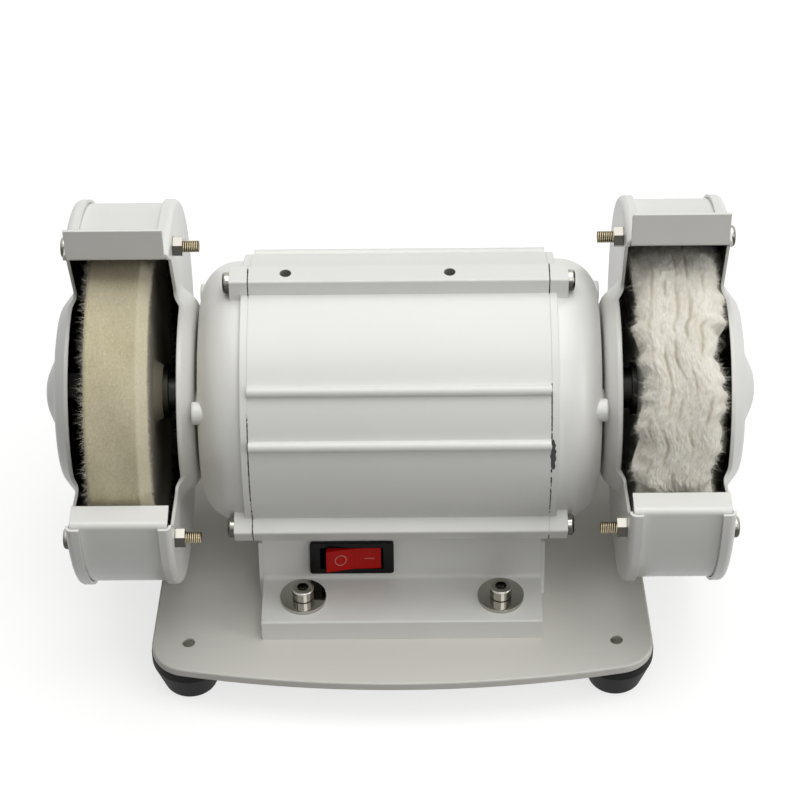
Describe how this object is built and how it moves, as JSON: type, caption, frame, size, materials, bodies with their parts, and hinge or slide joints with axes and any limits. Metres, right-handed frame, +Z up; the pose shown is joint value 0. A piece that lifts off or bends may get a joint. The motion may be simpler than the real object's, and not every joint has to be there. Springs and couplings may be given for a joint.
{
  "type": "double head polishing machine",
  "caption": "Bench polishing motor on a footed plate, with a guarded felt wheel on one shaft end, a guarded cotton buff on the other and a rocker switch.",
  "frame": {"origin": "on the floor, straight below the middle of the shaft", "axes": "+X along the shaft to the cotton buff, -Y towards the user, +Z up"},
  "size_m": [0.2718, 0.1592, 0.1882],
  "materials": {
    "white_paint": "smooth semi-gloss white paint",
    "plate_paint": "fine-textured warm white paint",
    "black_rubber": "matt moulded rubber",
    "nickel_steel": "nickel-plated steel",
    "yellow_zinc": "yellow-passivated zinc plate",
    "dark_steel": "blackened steel",
    "lamination": "stacked steel laminations",
    "copper": "enamelled copper wire",
    "felt": "dense pressed wool felt",
    "cotton": "loose-leaf sewn cotton",
    "black_plastic": "glossy black nylon",
    "red_plastic": "translucent red polycarbonate",
    "brass": "tinned brass",
    "grey_plastic": "moulded plastic"
  },
  "bodies": {
    "machine": {"pedestal": "white_paint", "pedestal_end_cap_left": "white_paint", "pedestal_end_cap_right": "white_paint", "motor_housing": "white_paint", "end_bell_left": "white_paint", "end_bell_right": "white_paint", "guard_inner_cover_left": "white_paint", "guard_inner_cover_right": "white_paint", "guard_outer_cover_left": "white_paint", "guard_outer_cover_right": "white_paint", "guard_band_left": "white_paint", "guard_band_right": "white_paint", "base_plate": "plate_paint", "rubber_feet": "black_rubber", "foot_screws": "nickel_steel", "pedestal_bolts": "nickel_steel", "pedestal_washers": "nickel_steel", "pedestal_nuts": "nickel_steel", "housing_screws": "nickel_steel", "end_bell_screws_left": "nickel_steel", "end_bell_screws_right": "nickel_steel", "guard_mount_screws_left": "nickel_steel", "guard_mount_screws_right": "nickel_steel", "bearing_outer_races": "nickel_steel", "bearing_balls": "nickel_steel", "capacitor_strap": "nickel_steel", "guard_bolts_left": "yellow_zinc", "guard_bolts_right": "yellow_zinc", "guard_nuts_left": "yellow_zinc", "guard_nuts_right": "yellow_zinc", "stator_core": "lamination", "stator_windings": "copper", "switch_housing": "black_plastic", "cable_gland": "black_plastic", "gland_nut": "black_plastic", "switch_blades": "brass", "run_capacitor": "grey_plastic", "terminal_block": "grey_plastic"},
    "rotor": {"motor_shaft": "dark_steel", "rotor_core": "lamination", "bearing_inner_races": "nickel_steel", "inner_flange_left": "dark_steel", "inner_flange_right": "dark_steel", "outer_flange_left": "dark_steel", "outer_flange_right": "dark_steel", "arbor_nut_left": "dark_steel", "arbor_nut_right": "dark_steel", "felt_wheel": "felt", "cotton_buff": "cotton"},
    "rocker": {"switch_rocker": "red_plastic"}
  },
  "joints": [
    {"name": "shaft_spin", "type": "hinge", "parent": "machine", "child": "rotor", "pos_m": [0, 0, 0.101], "axis": [1, 0, 0], "continuous": true},
    {"name": "rocker_tilt", "type": "hinge", "parent": "machine", "child": "rocker", "pos_m": [-0.0195, -0.0279, 0.04016], "axis": [0, -0.2079, -0.9781], "range_deg": [0, 16]}
  ]
}
